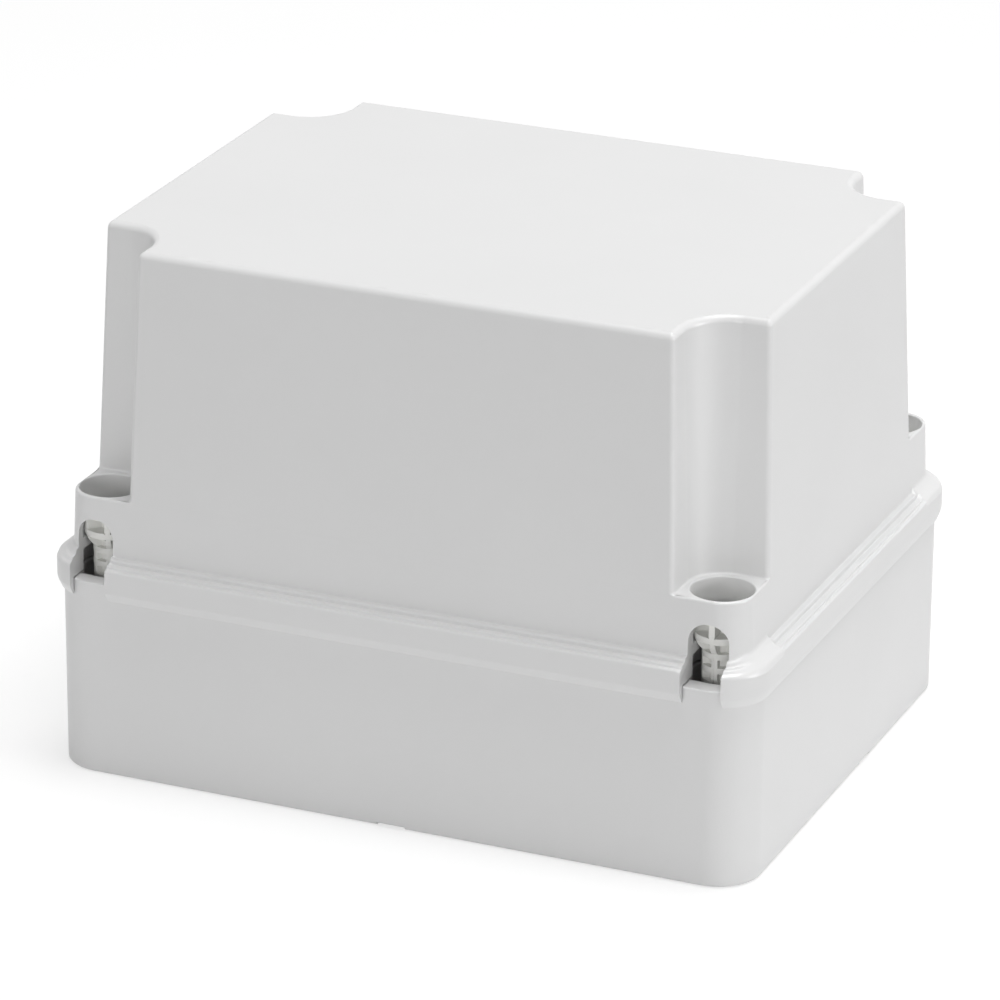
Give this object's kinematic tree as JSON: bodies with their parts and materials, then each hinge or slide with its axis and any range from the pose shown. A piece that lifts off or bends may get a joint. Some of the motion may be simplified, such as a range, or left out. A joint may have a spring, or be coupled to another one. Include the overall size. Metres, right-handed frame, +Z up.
{
  "type": "hinged polycarbonate enclosure",
  "caption": "Light grey wall box with a deep domed lid, corner screw wells with front windows, quarter-turn screws, seal and capped wall fixings.",
  "frame": {"origin": "centre of the base's underside", "axes": "+X along the long side, +Z up, -Y out of the front"},
  "size_m": [0.199, 0.1566, 0.145],
  "materials": {
    "base": "satin moulded polycarbonate",
    "lid": "satin moulded polycarbonate",
    "gasket": "foamed seal",
    "screw": "satin moulded polyamide",
    "fixing_cap": "matt moulded polyethylene",
    "plate_insert": "turned brass"
  },
  "bodies": {
    "base": {"base": "base", "fixing_cap_front_left": "fixing_cap", "fixing_cap_front_right": "fixing_cap", "fixing_cap_back_left": "fixing_cap", "fixing_cap_back_right": "fixing_cap", "plate_insert_front_left": "plate_insert", "plate_insert_front_right": "plate_insert", "plate_insert_back_left": "plate_insert", "plate_insert_back_right": "plate_insert"},
    "lid": {"lid": "lid", "gasket": "gasket"},
    "screw_front_left": {"screw_front_left": "screw"},
    "screw_front_right": {"screw_front_right": "screw"},
    "screw_back_left": {"screw_back_left": "screw"},
    "screw_back_right": {"screw_back_right": "screw"}
  },
  "joints": [
    {"name": "lid_hinge", "type": "hinge", "parent": "base", "child": "lid", "pos_m": [0, -0.0783, 0.0501], "axis": [1, 0, 0], "range_deg": [0, 110]},
    {"name": "screw_turn_front_left", "type": "hinge", "parent": "lid", "child": "screw_front_left", "pos_m": [-0.08555, -0.0631, 0.0664], "axis": [0, 0, -1], "range_deg": [-12, 78]},
    {"name": "screw_turn_front_right", "type": "hinge", "parent": "lid", "child": "screw_front_right", "pos_m": [0.08555, -0.0631, 0.0664], "axis": [0, 0, -1], "range_deg": [-30, 60]},
    {"name": "screw_turn_back_left", "type": "hinge", "parent": "lid", "child": "screw_back_left", "pos_m": [-0.08555, 0.0631, 0.0664], "axis": [0, 0, -1], "range_deg": [0, 90]},
    {"name": "screw_turn_back_right", "type": "hinge", "parent": "lid", "child": "screw_back_right", "pos_m": [0.08555, 0.0631, 0.0664], "axis": [0, 0, -1], "range_deg": [0, 90]}
  ]
}
